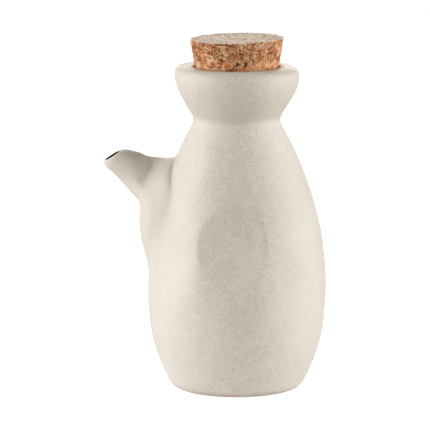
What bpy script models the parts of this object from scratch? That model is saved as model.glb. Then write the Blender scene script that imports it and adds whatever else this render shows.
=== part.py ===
# Oil bottle of matte stoneware with a pouring spout and a tapered cork.
# Metres, +Z up. The origin is the middle of the flat base, and the spout points along -X.

import math

import bmesh
import bpy
from mathutils import Matrix, Vector

# Cork, and the tapered seat it is pushed into
CORK_MOUTH_RADIUS = 0.0199
CORK_ABOVE_RIM = 0.0136
CORK_IN_SEAT = 0.011
CORK_TAPER = 0.156
CORK_EDGE = 0.0008
SEAT_CLEARANCE = 0.0003
SEAT_BELOW_CORK = 0.002
SEAT_EDGE = 0.0007

# Turned wall, from the ground up
FOOT_RADIUS = 0.02925
FOOT_EDGE = 0.0024
FOOT_FULLNESS = 2.5
BELLY_RADIUS = 0.0415
BELLY_HEIGHT = 0.0487
SHOULDER_HEIGHT = 0.0772
NECK_RADIUS = 0.0203
NECK_BLEND = 0.0040
COLLAR_HEIGHT = 0.0178
COLLAR_FULLNESS = 1.42
RIM_WIDTH = 0.0086
RIM_HEIGHT = 0.0063
RIM_EDGE = 0.0019

# Thickness of the ware
WALL = 0.0045
FLOOR = 0.006
FLOOR_CORNER = 0.006
LIP_WALL = 0.0010

# Leaf-shaped swelling where the spout grows out of the wall
SWELL_BELOW_NECK = 0.0169
SWELL_HEIGHT = 0.052
SWELL_HALF_WIDTH = 0.021
SWELL_POINTEDNESS = 1.6

# Sections of the spout: out from the wall, up from the middle of the swelling, half height,
# half width, the lean of the section away from upright in degrees, how far its sides are swept
# back to the wall, and how much wider it is below than above
SPOUT_SECTIONS = (
    (0.0014, 0.0066, 0.0193, 0.0161, 19.5, 0.0024, 0.08),
    (0.0043, 0.01415, 0.01115, 0.0085, 20.5, 0, 0.38),
    (0.0103, 0.0184, 0.0090, 0.0070, 20.5, 0, 0.1),
    (0.0164, 0.0227, 0.0067, 0.0056, 33.0, 0, 0),
    (0.0202, 0.0253, 0.0050, 0.0050, 57.0, 0, 0),
)

# Finger hollows pressed in the front and the back of the belly
HOLLOW_ABOVE_BELLY = 0.0233
HOLLOW_DEPTH = 0.0048
HOLLOW_BALL_RADIUS = 0.055
HOLLOW_BLEND = 0.002
HOLLOW_REACH = 0.026
HOLLOW_FINE_REACH = 0.021

# Fineness of the meshes: how far up its stretch of wall each ring of the cage stands
COLUMNS = 20
SPOUT_SIDES = 16
LOWER_RINGS = (0.16, 0.34, 0.54, 0.77)
SWELL_RINGS = (0, 0.25, 0.5, 0.75, 1)
UPPER_RINGS = (0.45, 0.75, 0.9, 1)
COLLAR_RINGS = (0.1, 0.25, 0.55, 0.8, 1)
INSIDE_UPPER_RINGS = (0.6, 1)
INSIDE_LOWER_RINGS = (0, 0.3, 0.7)
FLAT_RINGS = (0, 0.5, 0.9)
RIM_RING = 0.6
QUARTER_DEPTH = 1 - math.sqrt(0.5)
SMOOTH_LEVELS = 1
FIT_ROUNDS = 3
CORK_EDGE_STEPS = 2
SHARP_DEGREES = 50
SLOPE_STEP = 0.0005
SAME_PLACE = 0.00001
JUST_BEFORE_TOP = 0.1

mouth_radius = CORK_MOUTH_RADIUS + SEAT_CLEARANCE
collar_radius = mouth_radius + RIM_WIDTH
neck_height = BELLY_HEIGHT + SHOULDER_HEIGHT
collar_top = neck_height + COLLAR_HEIGHT
bottle_height = collar_top + RIM_HEIGHT
seat_bottom = bottle_height - CORK_IN_SEAT - SEAT_BELOW_CORK
swell_top = neck_height - SWELL_BELOW_NECK
swell_bottom = swell_top - SWELL_HEIGHT
swell_middle = swell_bottom + SWELL_HEIGHT / 2
hollow_height = BELLY_HEIGHT + HOLLOW_ABOVE_BELLY


def soft_min(a, b, blend):
    """The smaller value, rounded off where the two come within the blend of each other."""
    overlap = max(0, 1 - abs(a - b) / blend)
    return min(a, b) - blend * overlap**2 / 4


def soft_max(a, b, blend):
    """The larger value, rounded off in the same way."""
    return -soft_min(-a, -b, blend)


def outer_radius(z):
    """Radius of the turned wall at a height: foot to belly, belly to neck, neck to collar."""
    if z < BELLY_HEIGHT:
        below = 1 - z / BELLY_HEIGHT
        return BELLY_RADIUS - (BELLY_RADIUS - FOOT_RADIUS) * below**FOOT_FULLNESS
    corner = NECK_RADIUS - NECK_BLEND / 4
    above = (z - BELLY_HEIGHT) / SHOULDER_HEIGHT
    below = max(0, collar_top - z) / COLLAR_HEIGHT
    shoulder = BELLY_RADIUS - (BELLY_RADIUS - corner) * above**2
    collar = collar_radius - (collar_radius - corner) * below**COLLAR_FULLNESS
    return soft_max(shoulder, collar, NECK_BLEND)


def wall_slope(z):
    """How fast the turned wall widens with height."""
    return (outer_radius(z + SLOPE_STEP) - outer_radius(z - SLOPE_STEP)) / (2 * SLOPE_STEP)


def inner_radius(z):
    """Radius of the inside where the wall has its full thickness square to its slope."""
    return outer_radius(z) - WALL * math.hypot(1, wall_slope(z))


def seat_radius(z):
    """Radius of the tapered seat, which follows the cork with a small clearance."""
    return mouth_radius + CORK_TAPER * (z - bottle_height)


def heights(low, high, shares):
    return [low + (high - low) * share for share in shares]


def outside_rings():
    """Radius and height of each ring of the cage, from the middle of the base up to the collar."""
    base_edge = FOOT_RADIUS - FOOT_EDGE
    turn = FOOT_EDGE * QUARTER_DEPTH
    rings = [(base_edge * share, 0) for share in (*FLAT_RINGS, 1)]
    rings += [(FOOT_RADIUS - turn, turn), (outer_radius(FOOT_EDGE), FOOT_EDGE)]
    wall = heights(0, swell_bottom, LOWER_RINGS)
    wall += heights(swell_bottom, swell_top, SWELL_RINGS)
    wall += heights(swell_top, neck_height, UPPER_RINGS)
    wall += heights(neck_height, collar_top, COLLAR_RINGS)
    return rings + [(outer_radius(z), z) for z in wall]


def rim_rings():
    """Rings over the flat rim and down the cork's seat to the bore of the neck."""
    turn = RIM_EDGE * QUARTER_DEPTH
    bore = inner_radius(neck_height)
    return [
        (collar_radius, collar_top + (bottle_height - collar_top) * RIM_RING),
        (collar_radius - turn, bottle_height - turn),
        (collar_radius - RIM_EDGE, bottle_height),
        ((collar_radius + mouth_radius) / 2, bottle_height),
        (mouth_radius + SEAT_EDGE, bottle_height),
        (seat_radius(bottle_height - SEAT_EDGE), bottle_height - SEAT_EDGE),
        (seat_radius((bottle_height + seat_bottom) / 2), (bottle_height + seat_bottom) / 2),
        (seat_radius(seat_bottom), seat_bottom),
        ((seat_radius(seat_bottom) + bore) / 2, (seat_bottom + neck_height) / 2),
    ]


def inside_rings():
    """Rings from the bore of the neck down to the middle of the floor."""
    corner_top = FLOOR + FLOOR_CORNER
    wall = heights(corner_top, swell_bottom, INSIDE_LOWER_RINGS)
    wall += heights(swell_bottom, swell_top, SWELL_RINGS)
    wall += heights(swell_top, neck_height, INSIDE_UPPER_RINGS)
    floor_edge = inner_radius(corner_top) - FLOOR_CORNER
    rings = [(inner_radius(z), z) for z in reversed(wall)]
    turn = FLOOR_CORNER * QUARTER_DEPTH
    rings.append((floor_edge + FLOOR_CORNER - turn, FLOOR + turn))
    return rings + [(floor_edge * share, FLOOR) for share in reversed(FLAT_RINGS)]


def turned_cage():
    """The profile of the ware spun about Z, as one closed skin."""
    cage = bmesh.new()
    profile = outside_rings() + rim_rings() + inside_rings()
    points = [cage.verts.new((radius, 0, z)) for radius, z in profile]
    edges = [cage.edges.new(pair) for pair in zip(points, points[1:])]
    bmesh.ops.spin(
        cage,
        geom=points + edges,
        cent=(0, 0, 0),
        axis=(0, 0, 1),
        angle=math.tau,
        steps=COLUMNS,
        use_merge=True,
    )
    bmesh.ops.remove_doubles(cage, verts=cage.verts, dist=SAME_PLACE)
    return cage


def open_for_spout(cage, wall_radius, inset):
    """Cuts one skin of the wall open and draws the hole out to the leaf shape of the swelling."""
    half_angle = 2 * math.tau / COLUMNS
    half_height = SWELL_HEIGHT / 2

    def place(point):
        return math.atan2(point.y, -point.x) / half_angle, (point.z - swell_middle) / half_height

    def in_hole(face):
        middle = face.calc_center_median()
        across, up = place(middle)
        on_wall = abs(math.hypot(middle.x, middle.y) - wall_radius(middle.z)) < WALL / 2
        return on_wall and abs(across) < 1 and abs(up) < 1

    def clockwise(vert):
        # counted from just before the top, so that the top corner is always the first
        across, up = place(vert.co)
        return (math.atan2(across, up) + JUST_BEFORE_TOP) % math.tau

    already_open = {edge for edge in cage.edges if edge.is_boundary}
    bmesh.ops.delete(cage, geom=[face for face in cage.faces if in_hole(face)], context="FACES")
    hole = [edge for edge in cage.edges if edge.is_boundary and edge not in already_open]
    corners = sorted({vert for edge in hole for vert in edge.verts}, key=clockwise)
    for index, vert in enumerate(corners):
        angle = math.tau * index / len(corners)
        bulge = math.copysign(abs(math.sin(angle)) ** SWELL_POINTEDNESS, math.sin(angle))
        y = bulge * (SWELL_HALF_WIDTH - inset)
        z = swell_middle + math.cos(angle) * (half_height - inset)
        vert.co = (-math.sqrt(wall_radius(z) ** 2 - y**2), y, z)
    return hole


def spout_ring(cage, section, thickness):
    """One egg-shaped section of the spout, made smaller by a thickness."""
    out, up, half_height, half_width, lean, sweep, fullness = section
    middle = Vector((-outer_radius(swell_middle) - out, 0, swell_middle + up))
    upright = Matrix(((0, 0, 1, 0), (-1, 0, 0, 0), (0, 1, 0, 0), (0, 0, 0, 1)))
    turn = Matrix.Rotation(math.radians(lean), 4, "Y")
    place = Matrix.Translation(middle) @ turn @ upright
    circle = bmesh.ops.create_circle(cage, segments=SPOUT_SIDES, radius=1)
    for vert in circle["verts"]:
        rise = vert.co.y
        bulge = vert.co.x * (1 - fullness * rise)
        across, along = bulge * (half_width - thickness), rise * (half_height - thickness)
        vert.co = place @ Vector((across, along, sweep * abs(bulge)))
    return list({edge for vert in circle["verts"] for edge in vert.link_edges})


def grow_spout(cage):
    """Draws both skins of the wall out into the spout, thinning it, and joins them at its lip."""
    last = len(SPOUT_SECTIONS) - 1
    lip = []
    for wall_radius, wall in ((outer_radius, 0), (inner_radius, WALL)):
        edges = open_for_spout(cage, wall_radius, wall)
        for index, section in enumerate(SPOUT_SECTIONS):
            thickness = wall and wall + (LIP_WALL - wall) * math.sqrt(index / last)
            ring = spout_ring(cage, section, thickness)
            bmesh.ops.bridge_loops(cage, edges=edges + ring)
            edges = ring
        lip += edges
    bmesh.ops.bridge_loops(cage, edges=lip)
    bmesh.ops.recalc_face_normals(cage, faces=cage.faces)


def evaluated_mesh(shape):
    """The mesh of an object with its modifiers."""
    bpy.context.view_layer.update()
    return bpy.data.meshes.new_from_object(shape.evaluated_get(bpy.context.evaluated_depsgraph_get()))


def smooth_through(cage, name, collection):
    """A smooth object that runs through the cage's corners, which smoothing alone would cut."""
    mesh = bpy.data.meshes.new(name + "_cage")
    cage.to_mesh(mesh)
    cage.free()
    shape = bpy.data.objects.new(name, mesh)
    collection.objects.link(shape)
    smoothing = shape.modifiers.new("Smoothing", "SUBSURF")
    smoothing.levels = smoothing.render_levels = SMOOTH_LEVELS
    wanted = [vert.co.copy() for vert in mesh.vertices]
    for _ in range(FIT_ROUNDS):
        smooth = evaluated_mesh(shape)
        for vert, target in zip(mesh.vertices, wanted):
            vert.co += target - smooth.vertices[vert.index].co
        bpy.data.meshes.remove(smooth)
    shape.data = evaluated_mesh(shape)
    shape.data.name = name
    shape.modifiers.clear()
    bpy.data.meshes.remove(mesh)
    return shape


def press_hollow(ware, side):
    """Presses a shallow ball into the belly, square to its wall, through both skins."""
    lean = math.atan(-wall_slope(hollow_height))
    middle = Vector((0, side * outer_radius(hollow_height), hollow_height))
    outward = Vector((0, side * math.cos(lean), math.sin(lean)))

    def place(point):
        offset = point - middle
        height = offset.dot(outward)
        return height, (offset - outward * height).length

    def on_skin(face):
        height, across = place(face.calc_center_median())
        return height > -WALL and across < HOLLOW_FINE_REACH

    near = [face for face in ware.faces if on_skin(face)]
    edges = {edge for face in near for edge in face.edges}
    bmesh.ops.subdivide_edges(ware, edges=list(edges), cuts=1, smooth=1, use_grid_fill=True)
    for vert in ware.verts:
        height, across = place(vert.co)
        if across > HOLLOW_REACH or height < -HOLLOW_REACH:
            continue
        outside = math.hypot(vert.co.x, vert.co.y) > outer_radius(vert.co.z) - WALL / 2
        deepest = -HOLLOW_DEPTH if outside else -HOLLOW_DEPTH - WALL
        ball = deepest + HOLLOW_BALL_RADIUS - math.sqrt(HOLLOW_BALL_RADIUS**2 - across**2)
        vert.co += outward * (soft_min(height, ball, HOLLOW_BLEND) - height)


def finish(name, colour, roughness):
    """A Principled BSDF material."""
    material = bpy.data.materials.new(name)
    material.use_nodes = True
    shader = material.node_tree.nodes["Principled BSDF"]
    shader.inputs["Base Color"].default_value = (*colour, 1)
    shader.inputs["Roughness"].default_value = roughness
    shader.inputs["Metallic"].default_value = 0
    return material


def make_bottle(collection):
    cage = turned_cage()
    grow_spout(cage)
    bottle = smooth_through(cage, "bottle_body", collection)
    ware = bmesh.new()
    ware.from_mesh(bottle.data)
    for side in (-1, 1):
        press_hollow(ware, side)
    for vert in ware.verts:
        # the base is ground flat
        vert.co.z = max(vert.co.z, 0)
    ware.to_mesh(bottle.data)
    ware.free()
    bottle.data.shade_smooth()
    bottle.data.materials.append(finish("matte_stoneware", (0.70, 0.66, 0.58), 0.75))
    return bottle


def make_cork(collection, bottle):
    height = CORK_ABOVE_RIM + CORK_IN_SEAT
    bpy.ops.mesh.primitive_cone_add(
        vertices=COLUMNS * 2**SMOOTH_LEVELS,
        radius1=CORK_MOUTH_RADIUS - CORK_TAPER * CORK_IN_SEAT,
        radius2=CORK_MOUTH_RADIUS + CORK_TAPER * CORK_ABOVE_RIM,
        depth=height,
        location=(0, 0, bottle_height - CORK_IN_SEAT + height / 2),
    )
    cork = bpy.context.object
    cork.name = cork.data.name = "cork_stopper"
    for owner in list(cork.users_collection):
        owner.objects.unlink(cork)
    collection.objects.link(cork)
    cork.parent = bottle
    edge = cork.modifiers.new("Rounded edges", "BEVEL")
    edge.width = CORK_EDGE
    edge.segments = CORK_EDGE_STEPS
    edge.limit_method = "ANGLE"
    edge.angle_limit = math.radians(SHARP_DEGREES)
    cork.data.materials.append(finish("pressed_cork", (0.52, 0.31, 0.15), 0.85))
    return cork


def main():
    for old in list(bpy.data.objects):
        bpy.data.objects.remove(old, do_unlink=True)
    collection = bpy.data.collections.new("oil_bottle")
    bpy.context.scene.collection.children.link(collection)
    bottle = make_bottle(collection)
    make_cork(collection, bottle)


main()
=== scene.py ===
import math

import bmesh
import bpy
from mathutils import Matrix, Vector, noise


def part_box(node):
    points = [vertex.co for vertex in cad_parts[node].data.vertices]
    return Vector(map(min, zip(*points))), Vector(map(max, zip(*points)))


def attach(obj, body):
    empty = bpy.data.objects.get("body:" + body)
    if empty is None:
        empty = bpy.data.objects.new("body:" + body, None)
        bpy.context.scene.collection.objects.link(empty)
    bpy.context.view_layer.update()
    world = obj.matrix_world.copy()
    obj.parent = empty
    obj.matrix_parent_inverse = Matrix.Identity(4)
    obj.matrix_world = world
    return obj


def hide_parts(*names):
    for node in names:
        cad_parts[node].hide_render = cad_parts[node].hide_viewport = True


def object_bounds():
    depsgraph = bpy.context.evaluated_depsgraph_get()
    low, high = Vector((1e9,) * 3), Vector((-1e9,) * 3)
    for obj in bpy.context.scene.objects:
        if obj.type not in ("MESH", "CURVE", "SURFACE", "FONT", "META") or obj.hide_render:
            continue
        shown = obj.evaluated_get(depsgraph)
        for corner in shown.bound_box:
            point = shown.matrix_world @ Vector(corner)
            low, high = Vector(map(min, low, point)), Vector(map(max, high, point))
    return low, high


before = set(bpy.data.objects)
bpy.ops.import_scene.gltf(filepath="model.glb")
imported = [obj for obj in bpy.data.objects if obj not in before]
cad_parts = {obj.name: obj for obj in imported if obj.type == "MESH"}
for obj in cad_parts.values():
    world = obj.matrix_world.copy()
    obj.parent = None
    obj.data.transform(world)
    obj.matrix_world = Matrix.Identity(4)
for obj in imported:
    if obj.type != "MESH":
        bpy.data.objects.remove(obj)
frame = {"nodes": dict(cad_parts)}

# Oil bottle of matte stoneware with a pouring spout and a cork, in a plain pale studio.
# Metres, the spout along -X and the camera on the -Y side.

cadLow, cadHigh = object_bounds()
scene = bpy.context.scene
print("frame loaded:", ", ".join(frame["nodes"]))


# shared helpers

def linear(red, green, blue):  # an 8-bit screen colour as Blender's linear one
    def channel(value):
        value /= 255
        return value / 12.92 if value <= 0.04045 else ((value + 0.055) / 1.055) ** 2.4

    return channel(red), channel(green), channel(blue), 1


def softMin(a, b, blend):  # the smaller value, rounded where the two are close
    overlap = max(0, 1 - abs(a - b) / blend)
    return min(a, b) - blend * overlap**2 / 4


def softMax(a, b, blend):
    return -softMin(-a, -b, blend)


def fade(low, high, value):  # 0 at low and before it, 1 at high and beyond, smooth between
    share = min(1, max(0, (value - low) / (high - low)))
    return share * share * (3 - 2 * share)


def spinProfile(form, profile, steps):  # turns a line of radii and heights into a closed skin
    points = [form.verts.new((radius, 0, z)) for radius, z in profile]
    edges = [form.edges.new(pair) for pair in zip(points, points[1:])]
    bmesh.ops.spin(
        form,
        geom=points + edges,
        cent=(0, 0, 0),
        axis=(0, 0, 1),
        angle=math.tau,
        steps=steps,
        use_merge=True,
    )
    bmesh.ops.remove_doubles(form, verts=form.verts, dist=0.00001)


def takeMesh(form, name):  # a bmesh's result as a mesh, which ends the bmesh
    mesh = bpy.data.meshes.new(name)
    form.to_mesh(mesh)
    form.free()
    return mesh


def addObject(name, data):
    made = bpy.data.objects.new(name, data)
    scene.collection.objects.link(made)
    return made


def evaluatedMesh(shape):
    bpy.context.view_layer.update()
    graph = bpy.context.evaluated_depsgraph_get()
    return bpy.data.meshes.new_from_object(shape.evaluated_get(graph))


def addNode(material, kind, inputs=(), **settings):
    made = material.node_tree.nodes.new(kind)
    for name, value in settings.items():
        setattr(made, name, value)
    for key, value in dict(inputs).items():
        if isinstance(value, bpy.types.NodeSocket):
            material.node_tree.links.new(value, made.inputs[key])
        else:
            made.inputs[key].default_value = value
    return made


def mixColours(material, share, first, second, blend="MIX"):
    inputs = {0: share, 6: first, 7: second}
    return addNode(material, "ShaderNodeMix", inputs, data_type="RGBA", blend_type=blend).outputs[2]


def layOver(material, share, colour, tone):  # a share of an 8-bit tone over the colour so far
    return mixColours(material, share, colour, linear(*tone))


def rescale(material, value, fromLow, fromHigh, toLow=0, toHigh=1):
    inputs = {0: value, 1: fromLow, 2: fromHigh, 3: toLow, 4: toHigh}
    return addNode(material, "ShaderNodeMapRange", inputs).outputs[0]


def calculate(material, operation, *values):
    inputs = dict(enumerate(values))
    return addNode(material, "ShaderNodeMath", inputs, operation=operation).outputs[0]


def multiply(material, first, second):
    return calculate(material, "MULTIPLY", first, second)


def addVectorMath(material, operation, *vectors):
    inputs = dict(enumerate(vectors))
    return addNode(material, "ShaderNodeVectorMath", inputs, operation=operation)


def addNoise(material, place, scale, detail=2, roughness=0.5):
    inputs = {"Vector": place, "Scale": scale, "Detail": detail, "Roughness": roughness}
    return addNode(material, "ShaderNodeTexNoise", inputs).outputs["Fac"]


def addBump(material, shader, height, distance, invert=False):
    inputs = {"Height": height, "Strength": 0.8, "Distance": distance}
    bump = addNode(material, "ShaderNodeBump", inputs, invert=invert)
    material.node_tree.links.new(bump.outputs[0], shader.inputs["Normal"])


def newMaterial(name, roughness):
    material = bpy.data.materials.new(name)
    material.use_nodes = True
    shader = material.node_tree.nodes["Principled BSDF"]
    shader.inputs["Roughness"].default_value = roughness
    place = addNode(material, "ShaderNodeTexCoord").outputs["Object"]
    return material, shader, place


# the stoneware bottle

ware = {
    "footRadius": 0.02925,
    "footEdge": 0.0024,
    "footFullness": 2.5,
    "bellyRadius": 0.0415,
    "bellyHeight": 0.0487,
    "shoulderHeight": 0.0772,
    "neckRadius": 0.0203,
    "neckBlend": 0.004,
    "collarHeight": 0.0178,
    "collarFullness": 1.42,
    "rimWidth": 0.0086,
    "rimHeight": 0.0063,
    "rimEdge": 0.003,
    "wall": 0.0045,
    "floor": 0.006,
    "floorCorner": 0.006,
    "lipWall": 0.0013,
    "mouthRadius": 0.0202,
    "seatTaper": 0.156,
    "seatDepth": 0.013,
    "seatEdge": 0.0007,
    "columns": 20,
    "smoothLevels": 3,
    "fitRounds": 3,
    "rimTilt": 0.02,
    "unevenness": 0.00016,
    "unevenScale": 70,
}

# the leaf-shaped swelling that the spout grows from; each section of the spout is out from
# the wall, up from the middle of the swelling, half height, half width, lean in degrees, how far
# its sides are swept back to the wall, and how much wider it is below than above
spout = {
    "belowNeck": 0.0169,
    "height": 0.052,
    "halfWidth": 0.021,
    "pointedness": 1.6,
    # how sharply its edge meets the wall: not at all so far above its bottom, and in full so far
    # above its middle; then how sharply the spout rises out of it
    "crease": 0.3,
    "creaseAboveBottom": 0.012,
    "creaseAboveMiddle": 0.006,
    "rootCrease": 0.5,
    "sides": 16,
    "sections": (
        (0.0014, 0.0066, 0.0193, 0.0162, 19.5, 0.0023, 0.16),
        (0.0058, 0.0145, 0.0111, 0.0078, 12.0, 0, 0.8),
        (0.0103, 0.0184, 0.0090, 0.0072, 20.5, 0, 0),
        (0.0164, 0.0227, 0.0067, 0.0058, 33.0, 0, 0),
        (0.0202, 0.0253, 0.0050, 0.0047, 57.0, 0, 0),
    ),
    # the last section on the outside, which leaves a thicker lip below the mouth
    "lip": (0.0202, 0.0249, 0.0054, 0.0048, 50.0, 0, 0),
    "mouthTurn": 1.5,
}

# radii of the hollow's curve towards the spout, away from it, and up and down
hollow = {
    "aboveBelly": 0.0233,
    "depth": 0.0046,
    "spoutSideRadius": 0.16,
    "farSideRadius": 0.036,
    "uprightRadius": 0.052,
    "blend": 0.0011,
    "reach": 0.026,
    "fineReach": 0.021,
    "fineCuts": 3,
}

quarterDepth = 1 - math.sqrt(0.5)
collarRadius = ware["mouthRadius"] + ware["rimWidth"]
neckHeight = ware["bellyHeight"] + ware["shoulderHeight"]
collarTop = neckHeight + ware["collarHeight"]
bottleHeight = collarTop + ware["rimHeight"]
seatBottom = bottleHeight - ware["seatDepth"]
swellTop = neckHeight - spout["belowNeck"]
swellBottom = swellTop - spout["height"]
swellMiddle = (swellTop + swellBottom) / 2
hollowHeight = ware["bellyHeight"] + hollow["aboveBelly"]


def outerRadius(z):  # foot to belly, belly to neck, neck to collar
    belly = ware["bellyRadius"]
    if z < ware["bellyHeight"]:
        below = 1 - z / ware["bellyHeight"]
        return belly - (belly - ware["footRadius"]) * below ** ware["footFullness"]
    corner = ware["neckRadius"] - ware["neckBlend"] / 4
    above = (z - ware["bellyHeight"]) / ware["shoulderHeight"]
    below = max(0, collarTop - z) / ware["collarHeight"]
    return softMax(
        belly - (belly - corner) * above**2,
        collarRadius - (collarRadius - corner) * below ** ware["collarFullness"],
        ware["neckBlend"],
    )


def wallSlope(z, step=0.0005):
    return (outerRadius(z + step) - outerRadius(z - step)) / (2 * step)


def innerRadius(z):
    return outerRadius(z) - ware["wall"] * math.hypot(1, wallSlope(z))


def seatRadius(z):
    return ware["mouthRadius"] + ware["seatTaper"] * (z - bottleHeight)


def heights(low, high, shares):
    return [low + (high - low) * share for share in shares]


def wareProfile():  # from the middle of the base round the rim to the middle of the floor
    foot, edge = ware["footRadius"], ware["footEdge"]
    turn = edge * quarterDepth
    swelling = heights(swellBottom, swellTop, (0, 0.25, 0.5, 0.75, 1))
    outside = [
        *heights(0, swellBottom, (0.16, 0.34, 0.54, 0.77)),
        *swelling,
        *heights(swellTop, neckHeight, (0.45, 0.75, 0.9, 1)),
        *heights(neckHeight, collarTop, (0.1, 0.25, 0.55, 0.8, 1)),
    ]
    rings = [((foot - edge) * share, 0) for share in (0, 0.5, 0.9, 1)]
    rings += [(foot - turn, turn), (outerRadius(edge), edge)]
    rings += [(outerRadius(z), z) for z in outside]

    mouth = ware["mouthRadius"]
    turn = ware["rimEdge"] * quarterDepth
    rings += [
        (collarRadius, collarTop + ware["rimHeight"] * 0.45),
        (collarRadius - turn, bottleHeight - turn),
        (collarRadius - ware["rimEdge"], bottleHeight),
        ((collarRadius + mouth) / 2, bottleHeight),
        (mouth + ware["seatEdge"], bottleHeight),
    ]
    seat = [bottleHeight - ware["seatEdge"], (bottleHeight + seatBottom) / 2, seatBottom]
    rings += [(seatRadius(z), z) for z in seat]
    bore = (seatRadius(seatBottom) + innerRadius(neckHeight)) / 2
    rings.append((bore, (seatBottom + neckHeight) / 2))

    cornerTop = ware["floor"] + ware["floorCorner"]
    inside = [
        *heights(cornerTop, swellBottom, (0, 0.3, 0.7)),
        *swelling,
        *heights(swellTop, neckHeight, (0.6, 1)),
    ]
    floorEdge = innerRadius(cornerTop) - ware["floorCorner"]
    rings += [(innerRadius(z), z) for z in reversed(inside)]
    turn = ware["floorCorner"] * quarterDepth
    rings.append((floorEdge + ware["floorCorner"] - turn, ware["floor"] + turn))
    return rings + [(floorEdge * share, ware["floor"]) for share in (0.9, 0.5, 0)]


def spinWare():
    cage = bmesh.new()
    cage.edges.layers.float.new("crease_edge")
    cage.verts.layers.float.new("bore")
    spinProfile(cage, wareProfile(), ware["columns"])
    return cage


def creaseEdges(cage, edges, crease, low, high):  # none at the low height, full at the high one
    creases = cage.edges.layers.float["crease_edge"]
    for edge in edges:
        height = (edge.verts[0].co.z + edge.verts[1].co.z) / 2
        edge[creases] = crease * fade(low, high, height)


def openForSpout(cage, wallRadius, inset):  # a leaf-shaped hole through one skin of the wall
    halfAngle = 2 * math.tau / ware["columns"]
    halfHeight = spout["height"] / 2

    def place(point):
        return math.atan2(point.y, -point.x) / halfAngle, (point.z - swellMiddle) / halfHeight

    def inHole(face):
        middle = face.calc_center_median()
        across, up = place(middle)
        onWall = abs(math.hypot(middle.x, middle.y) - wallRadius(middle.z)) < ware["wall"] / 2
        return onWall and abs(across) < 1 and abs(up) < 1

    def clockwise(vert):  # from a little before the top, so that the top corner comes first
        across, up = place(vert.co)
        return (math.atan2(across, up) + 0.1) % math.tau

    alreadyOpen = {edge for edge in cage.edges if edge.is_boundary}
    bmesh.ops.delete(cage, geom=[face for face in cage.faces if inHole(face)], context="FACES")
    hole = [edge for edge in cage.edges if edge.is_boundary and edge not in alreadyOpen]
    corners = sorted({vert for edge in hole for vert in edge.verts}, key=clockwise)
    for index, vert in enumerate(corners):
        angle = math.tau * index / len(corners)
        bulge = math.copysign(abs(math.sin(angle)) ** spout["pointedness"], math.sin(angle))
        y = bulge * (spout["halfWidth"] - inset)
        z = swellMiddle + math.cos(angle) * (halfHeight - inset)
        vert.co = (-math.sqrt(wallRadius(z) ** 2 - y**2), y, z)
    if not inset:
        low = swellBottom + spout["creaseAboveBottom"]
        high = swellMiddle + spout["creaseAboveMiddle"]
        creaseEdges(cage, hole, spout["crease"], low, high)
    return hole


def addSpoutRing(cage, section, thickness, faceFront=0):
    out, up, halfHeight, halfWidth, lean, sweep, fullness = section
    middle = Vector((-outerRadius(swellMiddle) - out, 0, swellMiddle + up))
    upright = Matrix(((0, 0, 1, 0), (-1, 0, 0, 0), (0, 1, 0, 0), (0, 0, 0, 1)))
    turn = Matrix.Rotation(math.radians(lean), 4, "Y")
    turn @= Matrix.Rotation(math.radians(faceFront), 4, "Z")
    place = Matrix.Translation(middle) @ turn @ upright
    circle = bmesh.ops.create_circle(cage, segments=spout["sides"], radius=1)
    bore = cage.verts.layers.float["bore"]
    for vert in circle["verts"]:
        vert[bore] = 1 if thickness else 0
        rise = vert.co.y
        bulge = vert.co.x * (1 - fullness * rise)
        across, along = bulge * (halfWidth - thickness), rise * (halfHeight - thickness)
        vert.co = place @ Vector((across, along, sweep * abs(bulge)))
    return list(dict.fromkeys(edge for vert in circle["verts"] for edge in vert.link_edges))


def growSpout(cage):  # draws both skins out into the spout and joins them at its lip
    last = len(spout["sections"]) - 1
    lip = []
    for wallRadius, wall in ((outerRadius, 0), (innerRadius, ware["wall"])):
        edges = openForSpout(cage, wallRadius, wall)
        for index, section in enumerate(spout["sections"]):
            thickness = wall and wall + (ware["lipWall"] - wall) * math.sqrt(index / last)
            faceFront = spout["mouthTurn"] if index == last else 0
            if index == last and not wall:
                section = spout["lip"]
            ring = addSpoutRing(cage, section, thickness, faceFront)
            if index == 1 and not wall:
                creaseEdges(cage, ring, spout["rootCrease"], neckHeight, swellMiddle)
            bmesh.ops.bridge_loops(cage, edges=edges + ring)
            edges = ring
        lip += edges
    bmesh.ops.bridge_loops(cage, edges=lip)
    bmesh.ops.recalc_face_normals(cage, faces=cage.faces)


def smoothThrough(cage, name):  # smooths the cage so that the surface runs through its corners
    mesh = takeMesh(cage, name + "_cage")
    shape = addObject(name, mesh)
    smoothing = shape.modifiers.new("Smoothing", "SUBSURF")
    smoothing.levels = smoothing.render_levels = ware["smoothLevels"]
    wanted = [vert.co.copy() for vert in mesh.vertices]
    for _ in range(ware["fitRounds"]):
        smooth = evaluatedMesh(shape)
        for vert, target in zip(mesh.vertices, wanted):
            vert.co += target - smooth.vertices[vert.index].co
        bpy.data.meshes.remove(smooth)
    shape.data = evaluatedMesh(shape)
    shape.data.name = name
    shape.modifiers.clear()
    bpy.data.meshes.remove(mesh)
    return shape


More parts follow.
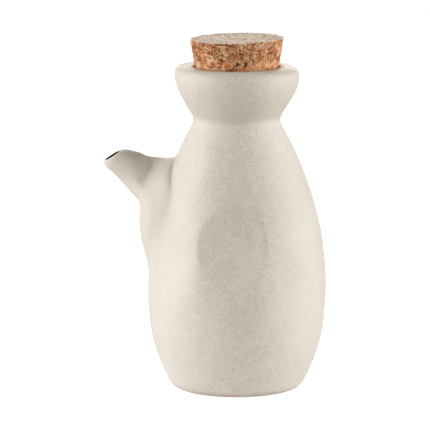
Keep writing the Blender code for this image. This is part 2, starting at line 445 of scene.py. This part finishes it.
def pressHollow(clay, side):  # a thumb's hollow, square to the wall, through both skins
    lean = math.atan(-wallSlope(hollowHeight))
    middle = Vector((0, side * outerRadius(hollowHeight), hollowHeight))
    outward = Vector((0, side * math.cos(lean), math.sin(lean)))
    upward = Vector((0, -side * math.sin(lean), math.cos(lean)))
    reach = hollow["reach"]

    def place(point):
        offset = point - middle
        return offset.dot(outward), offset.x, offset.dot(upward)

    def onSkin(face):
        height, across, up = place(face.calc_center_median())
        return height > -ware["wall"] and math.hypot(across, up) < hollow["fineReach"]

    near = [face for face in clay.faces if onSkin(face)]
    edges = list(dict.fromkeys(edge for face in near for edge in face.edges))
    bmesh.ops.subdivide_edges(
        clay, edges=edges, cuts=hollow["fineCuts"], smooth=1, use_grid_fill=True
    )
    for vert in clay.verts:
        height, across, up = place(vert.co)
        if math.hypot(across, up) > reach or height < -reach:
            continue
        outside = math.hypot(vert.co.x, vert.co.y) > outerRadius(vert.co.z) - ware["wall"] / 2
        bowl = -hollow["depth"] - (0 if outside else ware["wall"])
        bowl += across**2 / (2 * hollow["spoutSideRadius" if across < 0 else "farSideRadius"])
        bowl += up**2 / (2 * hollow["uprightRadius"])
        vert.co += outward * (softMin(height, bowl, hollow["blend"]) - height)


def throwByHand(vert):  # a rim that isn't quite level, and a wall that isn't quite even
    radius = math.hypot(vert.co.x, vert.co.y)
    fromSeat = fade(ware["mouthRadius"] + ware["seatEdge"], collarRadius, radius)
    fromFoot = fade(0, ware["bellyHeight"] / 2, vert.co.z)
    uneven = fade(-0.7, 0.7, noise.noise(vert.co * ware["unevenScale"])) * fromSeat * fromFoot
    vert.co -= vert.normal * ware["unevenness"] * uneven
    vert.co.z -= ware["rimTilt"] * vert.co.x * fromSeat * fade(neckHeight, collarTop, vert.co.z)


def fitToSolid(mesh, node):  # draws a mesh in sideways until it lies inside its solid's box
    low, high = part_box(node)
    share = 1
    for axis in (0, 1):
        places = [vert.co[axis] for vert in mesh.verts]
        share = min(share, high[axis] / max(places), low[axis] / min(places))
    bmesh.ops.scale(mesh, vec=(share, share, 1), verts=mesh.verts)


# colours as the screen shows them, lengths in metres, and noise by its scale
glaze = {
    "roughness": 0.62,
    "pale": (234, 227, 216),
    "warm": (230, 221, 208),
    "cloudScale": 38,
    "bumpScale": 640,
    "bumpHeight": 0.0003,
    # noise scale, and the lowest and highest share of the colour
    "grain": ((1500, 0.91, 1.07), (620, 0.925, 1.065), (270, 0.96, 1.035)),
    # how far from the plane of the spout the grain is full, and where and at what share it ends;
    # painted light: the grain and the specks are strongest where the wall faces away from the side
    # lamps, and fade where those lamps light it
    "grainFullAwayFromLamps": 0.009,
    "grainEndUnderLamps": (0.029, 0.3),
    # tone, cells in a metre, radius in cells, and the share of the cells that have one
    "faintSpeck": (176, 163, 144),
    "speck": (112, 94, 76),
    "specks": (
        ("faintSpeck", 520, 0.18, 0.46),
        ("speck", 280, 0.09, 0.5),
    ),
    # painted shade on the collar above the neck, full from just round the neck and fading out to
    # the top of the collar
    "neckShade": (220, 212, 195),
    "neckShadeStrength": 0.6,
    "neckShadeEdge": 0.001,
    "neckShadeFull": 0.003,
    # painted shade in the bend of the spout, round one point, where the neck keeps the right lamp
    # off
    "spoutShadeTone": (150, 134, 116),
    "spoutShadeCentre": (-0.045, 0, 0.113),
    "spoutShadeReach": 0.014,
    "spoutShadeStrength": 0.8,
    # greyer on top of the rim, between two depths below the top
    "rim": (216, 211, 199),
    "rimGreyShare": 0.45,
    "rimGreyBand": (0.003, 0.001),
    # painted shadow round the foot of the cork, out from the mouth
    "corkShadow": (132, 98, 66),
    "corkShadowFull": 0.0003,
    "corkShadowWidth": 0.0027,
    "corkShadowStrength": 0.9,
    "corkShadowScale": 260,
    # bare at the foot, up to a wavy edge
    "bareClay": (222, 204, 190),
    "bareHeight": 0.0022,
    "bareEdge": 0.0016,
    "bareScale": 120,
    # painted shade: the near-black inside of the spout, where little light gets in
    "bore": (16, 12, 10),
}


def stonewareFinish():
    material, shader, place = newMaterial("matte_stoneware", glaze["roughness"])
    across, _, height = addNode(material, "ShaderNodeSeparateXYZ", {0: place}).outputs
    cloud = rescale(material, addNoise(material, place, glaze["cloudScale"], 3), 0.35, 0.65)
    colour = mixColours(material, cloud, linear(*glaze["pale"]), linear(*glaze["warm"]))

    # fine grain of the body showing through the glaze, most in front and behind; painted light: it
    # fades towards the sides, where the side lamps wash it out
    across = calculate(material, "ABSOLUTE", across)
    end, least = glaze["grainEndUnderLamps"]
    grainAwayFromLamps = rescale(material, across, glaze["grainFullAwayFromLamps"], end, 1, least)
    for scale, low, high in glaze["grain"]:
        grain = rescale(material, addNoise(material, place, scale, 3, 0.6), 0.3, 0.7, low, high)
        grained = mixColours(material, 1, colour, grain, "MULTIPLY")
        colour = mixColours(material, grainAwayFromLamps, colour, grained)

    # painted shade on the lower collar, darkest just above the neck
    edge, full = glaze["neckShadeEdge"], neckHeight + glaze["neckShadeFull"]
    aboveNeck = rescale(material, height, neckHeight - edge, neckHeight + edge)
    neckShadeFading = rescale(material, height, full, collarTop, glaze["neckShadeStrength"], 0)
    colour = layOver(material, multiply(material, aboveNeck, neckShadeFading), colour, glaze["neckShade"])

    # a greyer tone on top of the rim
    low, high = (bottleHeight - depth for depth in glaze["rimGreyBand"])
    rimGrey = rescale(material, height, low, high, 0, glaze["rimGreyShare"])
    colour = layOver(material, rimGrey, colour, glaze["rim"])

    # painted shade in the bend of the spout, darkest at one point and fading out round it
    fromSpoutShade = addVectorMath(material, "DISTANCE", place, glaze["spoutShadeCentre"]).outputs["Value"]
    spoutShade = rescale(material, fromSpoutShade, 0, glaze["spoutShadeReach"], glaze["spoutShadeStrength"], 0)
    colour = layOver(material, spoutShade, colour, glaze["spoutShadeTone"])

    # iron specks: small faint ones, and a few dark ones
    pits = 0
    for tone, cells, radius, share in glaze["specks"]:
        cell = addNode(material, "ShaderNodeTexVoronoi", {"Vector": place, "Scale": cells})
        near = rescale(material, cell.outputs["Distance"], radius * 0.5, radius, 1, 0)
        pick = addNode(material, "ShaderNodeSeparateColor", {0: cell.outputs["Color"]}).outputs[0]
        strength = rescale(material, pick, 0, share, 1, 0)
        speck = multiply(material, multiply(material, near, strength), grainAwayFromLamps)
        colour = layOver(material, speck, colour, glaze[tone])
        pits = calculate(material, "ADD", pits, speck)

    # painted shadow on the rim round the foot of the cork, broken up by noise
    level = addVectorMath(material, "MULTIPLY", place, (1, 1, 0)).outputs[0]
    radius = addVectorMath(material, "LENGTH", level).outputs["Value"]
    near, far = (ware["mouthRadius"] + glaze[width] for width in ("corkShadowFull", "corkShadowWidth"))
    nearCork = rescale(material, radius, near, far, 1, 0)
    onRim = rescale(material, height, collarTop, collarTop + 0.001, 0, glaze["corkShadowStrength"])
    patches = addNoise(material, place, glaze["corkShadowScale"], 3)
    broken = rescale(material, patches, 0.3, 0.62, 0.35, 1)
    corkShadowed = multiply(material, multiply(material, nearCork, onRim), broken)
    colour = layOver(material, corkShadowed, colour, glaze["corkShadow"])

    # the bare clay of the foot
    wander = addNoise(material, place, glaze["bareScale"], 2)
    wavy = calculate(material, "MULTIPLY_ADD", wander, glaze["bareEdge"], height)
    low, high = glaze["bareHeight"], glaze["bareHeight"] + glaze["bareEdge"]
    bare = rescale(material, wavy, low, high, 1, 0)
    colour = layOver(material, bare, colour, glaze["bareClay"])

    # painted shade: the inside skin of the spout made near-black
    bore = addNode(material, "ShaderNodeAttribute", attribute_name="bore").outputs["Fac"]
    colour = layOver(material, rescale(material, bore, 0.5, 0.85), colour, glaze["bore"])

    bumps = addNoise(material, place, glaze["bumpScale"], 4, 0.62)
    addBump(material, shader, calculate(material, "SUBTRACT", bumps, pits), glaze["bumpHeight"])
    material.node_tree.links.new(colour, shader.inputs["Base Color"])
    return material


def makeBottle():
    cage = spinWare()
    growSpout(cage)
    bottle = smoothThrough(cage, "stoneware_bottle")
    clay = bmesh.new()
    clay.from_mesh(bottle.data)
    for side in (-1, 1):
        pressHollow(clay, side)
    clay.normal_update()
    for vert in clay.verts:
        throwByHand(vert)
        vert.co.z = max(vert.co.z, 0)
    fitToSolid(clay, "bottle_body")
    clay.to_mesh(bottle.data)
    clay.free()
    bottle.data.shade_smooth()
    bottle.data.materials.append(stonewareFinish())
    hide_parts("bottle_body")
    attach(bottle, "bottle")
    print("bottle:", len(bottle.data.polygons), "faces")


makeBottle()


# the cork

cork = {
    "taper": 0.156,
    "columns": 420,
    "spacing": 0.00033,
    "edge": 0.0005,
    "granule": 0.0034,
    "curlSeed": 1795734614,  # for the curl of the granules, which else follows the clock
    "gapDepth": 0.00025,
    "roughDepth": 0.00012,
    "roughScale": 900,
    "chipDepth": 0.0006,
    "chipScale": 420,
    # worn slimmer above the seat, from a little below the rim up
    "wear": 0.00035,
    "wearBelow": 0.003,
    # a top that slopes down towards the spout, from a little above the rim up
    "topTilt": 0.0009,
    "tiltAbove": 0.002,
    # the crevice under the front of the top edge: its middle and half length along X, how far
    # below the top it is, half height, depth, and how far and how finely it wanders
    "crevice": {
        "x": -0.0068,
        "length": 0.0042,
        "below": 0.0008,
        "height": 0.0005,
        "depth": 0.0009,
        "wander": 0.0003,
        "wanderScale": 500,
    },
    "roughness": 0.85,
    "shine": 0.1,
    "light": (247, 190, 142),
    "dark": (214, 141, 95),
    # painted sheen: the paler tone laid over the top face, where light reflects at a grazing angle
    "cut": (255, 234, 215),
    "cutShare": 0.95,
    "gap": (82, 36, 14),
    # the bark lines: noise scale, how many, how far each granule shifts them, and their breaks
    "line": (82, 36, 14),
    "barkScale": 190,
    "barkLines": 9,
    "barkShift": 3,
    "breakScale": 240,
    "fleck": (255, 226, 184),
    "fleckScale": 430,
    "pitScale": 900,
    "bumpHeight": 0.0002,
}
corkLow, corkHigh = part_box("cork_stopper")


def corkProfile():  # from the middle of the top over the edge and down to the middle of the foot
    top, bottom, edge = corkHigh.z, corkLow.z, cork["edge"]
    topRadius = corkHigh.x
    bottomRadius = topRadius - cork["taper"] * (top - bottom)

    def run(start, end, spacing):
        steps = max(1, round(math.dist(start, end) / spacing))
        return [
            tuple(a + (b - a) * step / steps for a, b in zip(start, end)) for step in range(steps)
        ]

    upper = (topRadius - cork["taper"] * edge, top - edge)
    lower = (bottomRadius + cork["taper"] * edge, bottom + edge)
    return [
        *run((0, top), (topRadius - edge, top), cork["spacing"]),
        *run((topRadius - edge, top), upper, cork["spacing"]),
        *run(upper, lower, cork["spacing"]),
        *run(lower, (bottomRadius - edge, bottom), cork["spacing"]),
        *run((bottomRadius - edge, bottom), (0, bottom), cork["spacing"] * 2),
        (0, bottom),
    ]


# how near the edge of its granule a point is, the granule's own number, and how open the gaps
# between granules are here
def granuleAt(point):
    place = point / cork["granule"]
    place += noise.noise_vector(place * 0.9) * 0.55 + noise.noise_vector(place * 2.7) * 0.16
    distances, centres = noise.voronoi(place)
    number = noise.cell(centres[0] * 23.7)
    openness = fade(0, 0.6, noise.noise(place * 0.7 + Vector((7, 3, 5))))
    return distances[1] - distances[0], number, openness


def creviceAt(point):
    if point.y > 0:
        return 0
    crevice = cork["crevice"]
    along = (point.x - crevice["x"]) / crevice["length"]
    wander = noise.noise(point * crevice["wanderScale"]) * crevice["wander"]
    across = (corkHigh.z - crevice["below"] - wander - point.z) / crevice["height"]
    return max(0, 1 - along**2) * max(0, 1 - across**2)


def chipAt(point):  # crumbs lost along the two edges
    fromEdge = min(corkHigh.z - point.z, point.z - corkLow.z)
    lost = fade(0.12, 0.42, noise.noise(point * cork["chipScale"]))
    return lost * (1 - fade(0.0003, 0.0016, fromEdge))


def makeCork():
    noise.seed_set(cork["curlSeed"])
    crumb = bmesh.new()
    tones = crumb.verts.layers.float_color.new("crumb")
    spinProfile(crumb, corkProfile(), cork["columns"])
    bmesh.ops.recalc_face_normals(crumb, faces=crumb.faces)
    crumb.normal_update()
    wearFrom = bottleHeight - cork["wearBelow"]
    tiltFrom = bottleHeight + cork["tiltAbove"]
    for vert in crumb.verts:
        point = vert.co.copy()
        edge, number, openness = granuleAt(point)
        gap = (1 - fade(0.02, 0.14, edge)) * openness
        crevice = creviceAt(point)
        radius = math.hypot(point.x, point.y)
        depth = cork["gapDepth"] * gap + cork["crevice"]["depth"] * crevice
        depth += cork["roughDepth"] * fade(-0.6, 0.6, noise.noise(point * cork["roughScale"]))
        side = 1 - abs(vert.normal.z)
        depth += cork["wear"] * side * fade(wearFrom, bottleHeight, point.z)
        if radius > corkHigh.x / 2:
            depth += cork["chipDepth"] * chipAt(point)
        # the third tone is how far the surface faces up, for the painted sheen on top
        vert[tones] = (number, max(gap, min(1, crevice * 2)), fade(0.7, 0.95, vert.normal.z), 1)
        vert.co -= vert.normal * depth
        low = cork["topTilt"] * (corkHigh.x - point.x) / (2 * corkHigh.x)
        vert.co.z -= low * fade(tiltFrom, corkHigh.z, point.z)
    mesh = takeMesh(crumb, "cork")
    stopper = addObject("cork", mesh)
    mesh.shade_smooth()
    mesh.materials.append(corkFinish())
    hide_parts("cork_stopper")
    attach(stopper, "stopper")
    print("cork:", len(mesh.polygons), "faces")


def corkFinish():
    material, shader, place = newMaterial("pressed_cork", cork["roughness"])
    shader.inputs["Specular IOR Level"].default_value = cork["shine"]
    crumb = addNode(material, "ShaderNodeAttribute", attribute_name="crumb").outputs["Color"]
    number, gap, cut = addNode(material, "ShaderNodeSeparateColor", {0: crumb}).outputs
    colour = mixColours(material, number, linear(*cork["dark"]), linear(*cork["light"]))
    # painted sheen over the upward-facing top
    colour = layOver(material, multiply(material, cut, cork["cutShare"]), colour, cork["cut"])

    # bark lines that curl through each granule, fainter on top under the painted sheen
    drift = addNoise(material, place, cork["barkScale"], 2, 0.3)
    shift = multiply(material, number, cork["barkShift"])
    levels = calculate(material, "MULTIPLY_ADD", drift, cork["barkLines"], shift)
    wave = calculate(material, "PINGPONG", levels, 0.5)
    broken = rescale(material, addNoise(material, place, cork["breakScale"], 2), 0.34, 0.46)
    lines = multiply(material, rescale(material, wave, 0.06, 0.21, 1, 0), broken)
    lines = multiply(material, lines, rescale(material, cut, 0, 1, 1, 0.7))
    colour = layOver(material, lines, colour, cork["line"])

    # pale flecks, and small dark pits between the crumbs
    flecks = addNoise(material, place, cork["fleckScale"], 3, 0.6)
    flecks = rescale(material, flecks, 0.5, 0.6, 0, 0.45)
    colour = layOver(material, flecks, colour, cork["fleck"])
    pits = addNoise(material, place, cork["pitScale"], 2, 0.6)
    pits = rescale(material, pits, 0.28, 0.34, 0.8, 0)
    # pits fainter on top under the painted sheen
    pits = multiply(material, pits, rescale(material, cut, 0, 1, 1, 0.4))
    colour = layOver(material, pits, colour, cork["gap"])
    colour = layOver(material, gap, colour, cork["gap"])

    sunk = calculate(material, "MAXIMUM", lines, pits)
    addBump(material, shader, sunk, cork["bumpHeight"], invert=True)
    material.node_tree.links.new(colour, shader.inputs["Base Color"])
    return material


makeCork()


# the studio

studio = {
    "cameraDistance": 1.9,
    "cameraElevation": 9.2,
    "cameraAim": (-0.01007, 0, 0.0806),
    "lens": 343.3,
    "lampDistance": 1.1,
    "frontTone": (1, 0.975, 0.92),
    "airGlow": 0.02,
    "floorRadius": 4,
    "floorDrop": 0.0001,
    "floorTone": 0.3,
    "floorRoughness": 0.9,
    # the light that the floor gives off near the bottle, and how bright the camera sees it
    "glow": 0.36,
    "glowFrom": 0.08,
    "glowTo": 0.32,
    "floorSeen": (0.94, 1),
    "seenFrom": 0.04,
    "seenTo": 0.16,
}

# azimuth and elevation in degrees as the camera sees them, width and height in metres, watts
softboxes = {
    "left softbox": (-90, 10, 0.7, 1.1, 14.8),
    "right softbox": (90, 10, 0.7, 1.1, 13.2),
    "front softbox": (0, 10, 0.7, 1.1, 6.1),
    "back softbox": (180, 15, 0.7, 1.1, 12.5),
    "top softbox": (0, 80, 0.7, 1.1, 0.8),
}


def bearing(azimuth, elevation):  # azimuth 0 is the camera's side, and -90 the spout's
    turn, rise = math.radians(azimuth), math.radians(elevation)
    level = math.cos(rise)
    return Vector((math.sin(turn) * level, -math.cos(turn) * level, math.sin(rise)))


def aimAt(thing, target):
    thing.rotation_euler = (Vector(target) - thing.location).to_track_quat("-Z", "Y").to_euler()


def placeCamera():
    camera = addObject("camera", bpy.data.cameras.new("camera"))
    camera.data.lens = studio["lens"]
    aim = Vector(studio["cameraAim"])
    camera.location = aim + bearing(0, studio["cameraElevation"]) * studio["cameraDistance"]
    aimAt(camera, aim)
    scene.camera = camera


def placeLights():
    middle = (cadLow + cadHigh) / 2
    for name, (azimuth, elevation, width, height, watts) in softboxes.items():
        lamp = bpy.data.lights.new(name, "AREA")
        lamp.shape = "RECTANGLE"
        lamp.size, lamp.size_y, lamp.energy = width, height, watts
        if azimuth == 0:
            lamp.color = studio["frontTone"]
        softbox = addObject(name, lamp)
        softbox.visible_camera = False
        softbox.location = middle + bearing(azimuth, elevation) * studio["lampDistance"]
        aimAt(softbox, middle)


def paintWorld():
    world = bpy.data.worlds.new("studio air")
    scene.world = world
    world.use_nodes = True
    nodes, links = world.node_tree.nodes, world.node_tree.links
    light = nodes["Background"]
    light.inputs["Color"].default_value = (1, 1, 1, 1)
    light.inputs["Strength"].default_value = studio["airGlow"]
    backdrop = nodes.new("ShaderNodeBackground")
    backdrop.inputs["Color"].default_value = (1, 1, 1, 1)
    seen = nodes.new("ShaderNodeLightPath")
    mix = nodes.new("ShaderNodeMixShader")
    links.new(seen.outputs["Is Camera Ray"], mix.inputs[0])
    links.new(light.outputs[0], mix.inputs[1])
    links.new(backdrop.outputs[0], mix.inputs[2])
    links.new(mix.outputs[0], nodes["World Output"].inputs["Surface"])


def layFloor():
    disc = bmesh.new()
    bmesh.ops.create_circle(disc, cap_ends=True, segments=64, radius=studio["floorRadius"])
    mesh = takeMesh(disc, "floor")
    floor = addObject("floor", mesh)
    floor.location.z = -studio["floorDrop"]
    material, shader, place = newMaterial("white_table", studio["floorRoughness"])
    shader.inputs["Base Color"].default_value = (*[studio["floorTone"]] * 3, 1)
    shader.inputs["Emission Color"].default_value = (1, 1, 1, 1)
    away = addVectorMath(material, "LENGTH", place).outputs["Value"]
    glow = rescale(material, away, studio["glowFrom"], studio["glowTo"], studio["glow"], 0)
    seen = addNode(material, "ShaderNodeLightPath").outputs["Is Camera Ray"]
    white = rescale(material, away, studio["seenFrom"], studio["seenTo"], *studio["floorSeen"])
    glow = rescale(material, seen, 0, 1, glow, white)
    material.node_tree.links.new(glow, shader.inputs["Emission Strength"])
    mesh.materials.append(material)


placeCamera()
placeLights()
paintWorld()
layFloor()
scene.view_settings.view_transform = "Standard"
print("studio set")
